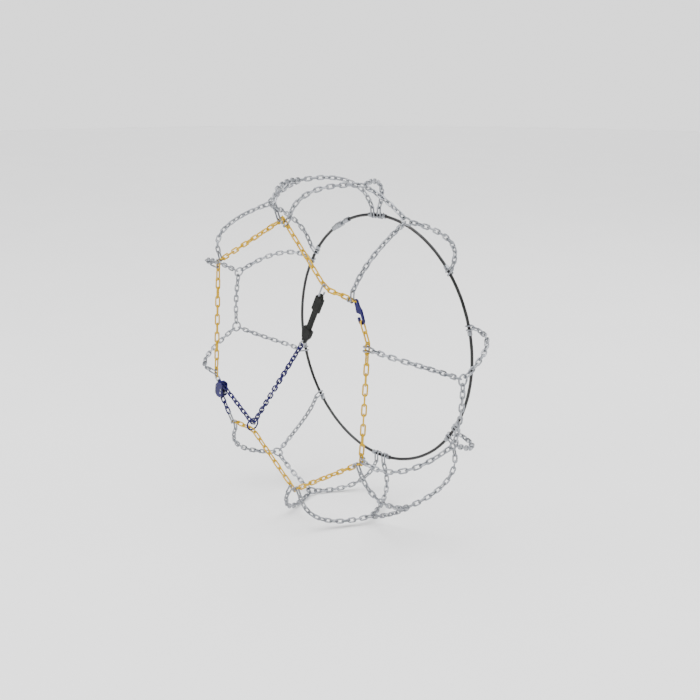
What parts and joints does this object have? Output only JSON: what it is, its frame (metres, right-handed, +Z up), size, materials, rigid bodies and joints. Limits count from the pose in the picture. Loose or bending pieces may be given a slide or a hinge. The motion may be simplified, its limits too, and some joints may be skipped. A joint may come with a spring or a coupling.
{
  "type": "tyre snow chain set",
  "caption": "Diamond-net snow chain for a car tyre: tread chains and rings, painted side chain, tension chain with lock, rubber strap and rear cable, in its mounted shape.",
  "frame": {"origin": "centre of the tyre that the net is fitted on: on the wheel's axle line, midway between the tread's two edges", "axes": "+Z up, Y along the wheel's axle, with -Y towards the outer side of the wheel where the tension chain and strap are, +X to the right seen from that side"},
  "size_m": [0.6542, 0.2444, 0.6413],
  "materials": {
    "zinc": "bright zinc plate",
    "yellow_paint": "gloss yellow coat",
    "blue_paint": "gloss dark blue coat",
    "cable_sheath": "smooth sheath",
    "strap_rubber": "satin black rubber"
  },
  "bodies": {
    "net": {"tread_end_links": "zinc", "front_slant_chains_1": "zinc", "front_slant_chains_2": "zinc", "front_slant_chains_3": "zinc", "front_slant_chains_4": "zinc", "front_slant_chains_5": "zinc", "front_slant_chains_6": "zinc", "rear_slant_chains_1": "zinc", "rear_slant_chains_2": "zinc", "rear_slant_chains_3": "zinc", "rear_slant_chains_4": "zinc", "rear_slant_chains_5": "zinc", "rear_slant_chains_6": "zinc", "side_chain_a_h": "yellow_paint", "side_chain_e_d": "yellow_paint", "side_chain_corner_links": "yellow_paint", "closure_links": "yellow_paint", "front_hooks": "zinc", "rear_hooks": "zinc", "rear_ferrules": "zinc", "coupler_socket": "zinc", "coupler_stud": "zinc", "lock_link": "zinc", "tension_link": "zinc", "lock_rivets": "zinc", "lock_pawl_pin": "zinc", "strap_eye": "zinc", "closure_hook": "blue_paint", "lock_body": "blue_paint", "lock_cover": "blue_paint", "tension_chain_lower": "blue_paint", "tension_chain_middle": "blue_paint", "tension_chain_upper": "blue_paint", "rear_cable": "cable_sheath", "strap": "strap_rubber"},
    "pawl": {"lock_pawl": "zinc"},
    "strap_hook": {"strap_hook": "zinc"},
    "guide_ring": {"guide_ring": "blue_paint"},
    "side_g_f": {"side_chain_g_f": "yellow_paint"},
    "side_f_e": {"side_chain_f_e": "yellow_paint"},
    "side_c_b": {"side_chain_c_b": "yellow_paint"},
    "side_b_a": {"side_chain_b_a": "yellow_paint"},
    "tread_1": {"tread_chain_1": "zinc"},
    "tread_2": {"tread_chain_2": "zinc"},
    "tread_3": {"tread_chain_3": "zinc"},
    "tread_4": {"tread_chain_4": "zinc"},
    "tread_5": {"tread_chain_5": "zinc"},
    "tread_6": {"tread_chain_6": "zinc"},
    "ring_1": {"tread_ring_1": "zinc"},
    "ring_2": {"tread_ring_2": "zinc"},
    "ring_3": {"tread_ring_3": "zinc"},
    "ring_4": {"tread_ring_4": "zinc"},
    "ring_5": {"tread_ring_5": "zinc"},
    "ring_6": {"tread_ring_6": "zinc"},
    "ring_7": {"tread_ring_7": "zinc"},
    "ring_8": {"tread_ring_8": "zinc"},
    "ring_9": {"tread_ring_9": "zinc"},
    "ring_10": {"tread_ring_10": "zinc"},
    "ring_11": {"tread_ring_11": "zinc"},
    "ring_12": {"tread_ring_12": "zinc"}
  },
  "joints": [
    {"name": "pawl_release", "type": "hinge", "parent": "net", "child": "pawl", "pos_m": [-0.21358, -0.112, -0.11533], "axis": [0, -1, 0], "range_deg": [-20, 0], "stiffness_Nm_per_rad": 0.05, "springref_deg": 2.86},
    {"name": "strap_hook_swing", "type": "hinge", "parent": "net", "child": "strap_hook", "pos_m": [0.09302, -0.1138, 0.13747], "axis": [0, -1, 0], "range_deg": [-7, 7]},
    {"name": "guide_ring_spin", "type": "hinge", "parent": "net", "child": "guide_ring", "pos_m": [-0.11682, -0.112, -0.15525], "axis": [0.9822, 0, -0.1876], "continuous": true},
    {"name": "side_chain_g_f_roll", "type": "hinge", "parent": "net", "child": "side_g_f", "pos_m": [0.20968, -0.112, 0.06102], "axis": [-0.0657, 0, -0.9978], "range_deg": [-12, 12]},
    {"name": "side_chain_f_e_roll", "type": "hinge", "parent": "net", "child": "side_f_e", "pos_m": [0.17987, -0.112, -0.14775], "axis": [-0.8561, 0, -0.5168], "range_deg": [-12, 12]},
    {"name": "side_chain_c_b_roll", "type": "hinge", "parent": "net", "child": "side_c_b", "pos_m": [-0.23445, -0.112, -0.0693], "axis": [0.0848, 0, 0.9964], "range_deg": [-12, 12]},
    {"name": "side_chain_b_a_roll", "type": "hinge", "parent": "net", "child": "side_b_a", "pos_m": [-0.19863, -0.112, 0.15755], "axis": [0.8838, 0, 0.4678], "range_deg": [-12, 12]},
    {"name": "tread_chain_1_roll", "type": "hinge", "parent": "net", "child": "tread_1", "pos_m": [0.09113, 0, 0.30881], "axis": [0.9153, 0, -0.4027], "range_deg": [-6, 6]},
    {"name": "tread_chain_2_roll", "type": "hinge", "parent": "net", "child": "tread_2", "pos_m": [0.32198, 0, 0.00033], "axis": [-0.1262, 0, -0.992], "range_deg": [-6, 6]},
    {"name": "tread_chain_3_roll", "type": "hinge", "parent": "net", "child": "tread_3", "pos_m": [0.18952, 0, -0.26029], "axis": [-0.8767, 0, -0.481], "range_deg": [-6, 6]},
    {"name": "tread_chain_4_roll", "type": "hinge", "parent": "net", "child": "tread_4", "pos_m": [-0.09382, 0, -0.30801], "axis": [-0.9118, 0, 0.4107], "range_deg": [-6, 6]},
    {"name": "tread_chain_5_roll", "type": "hinge", "parent": "net", "child": "tread_5", "pos_m": [-0.32196, 0, -0.00314], "axis": [0.1175, 0, 0.9931], "range_deg": [-6, 6]},
    {"name": "tread_chain_6_roll", "type": "hinge", "parent": "net", "child": "tread_6", "pos_m": [-0.18952, 0, 0.26029], "axis": [0.8767, 0, 0.481], "range_deg": [-6, 6]},
    {"name": "tread_ring_1_spin", "type": "hinge", "parent": "net", "child": "ring_1", "pos_m": [0.07243, 0, 0.31375], "axis": [0.225, 0, 0.9744], "continuous": true},
    {"name": "tread_ring_2_spin", "type": "hinge", "parent": "net", "child": "ring_2", "pos_m": [0.18238, 0, 0.26537], "axis": [0.5664, 0, 0.8241], "continuous": true},
    {"name": "tread_ring_3_spin", "type": "hinge", "parent": "net", "child": "ring_3", "pos_m": [0.3214, 0, 0.01966], "axis": [0.9981, 0, 0.061], "continuous": true},
    {"name": "tread_ring_4_spin", "type": "hinge", "parent": "net", "child": "ring_4", "pos_m": [0.30624, 0, -0.0995], "axis": [0.9511, 0, -0.309], "continuous": true},
    {"name": "tread_ring_5_spin", "type": "hinge", "parent": "net", "child": "ring_5", "pos_m": [0.20482, 0, -0.24846], "axis": [0.6361, 0, -0.7716], "continuous": true},
    {"name": "tread_ring_6_spin", "type": "hinge", "parent": "net", "child": "ring_6", "pos_m": [0.0995, 0, -0.30624], "axis": [0.309, 0, -0.9511], "continuous": true},
    {"name": "tread_ring_7_spin", "type": "hinge", "parent": "net", "child": "ring_7", "pos_m": [-0.07517, 0, -0.3131], "axis": [-0.2334, 0, -0.9724], "continuous": true},
    {"name": "tread_ring_8_spin", "type": "hinge", "parent": "net", "child": "ring_8", "pos_m": [-0.18469, 0, -0.26377], "axis": [-0.5736, 0, -0.8192], "continuous": true},
    {"name": "tread_ring_9_spin", "type": "hinge", "parent": "net", "child": "ring_9", "pos_m": [-0.32122, 0, -0.02246], "axis": [-0.9976, 0, -0.0698], "continuous": true},
    {"name": "tread_ring_10_spin", "type": "hinge", "parent": "net", "child": "ring_10", "pos_m": [-0.3071, 0, 0.09683], "axis": [-0.9537, 0, 0.3007], "continuous": true},
    {"name": "tread_ring_11_spin", "type": "hinge", "parent": "net", "child": "ring_11", "pos_m": [-0.20482, 0, 0.24846], "axis": [-0.6361, 0, 0.7716], "continuous": true},
    {"name": "tread_ring_12_spin", "type": "hinge", "parent": "net", "child": "ring_12", "pos_m": [-0.0995, 0, 0.30624], "axis": [-0.309, 0, 0.9511], "continuous": true}
  ]
}
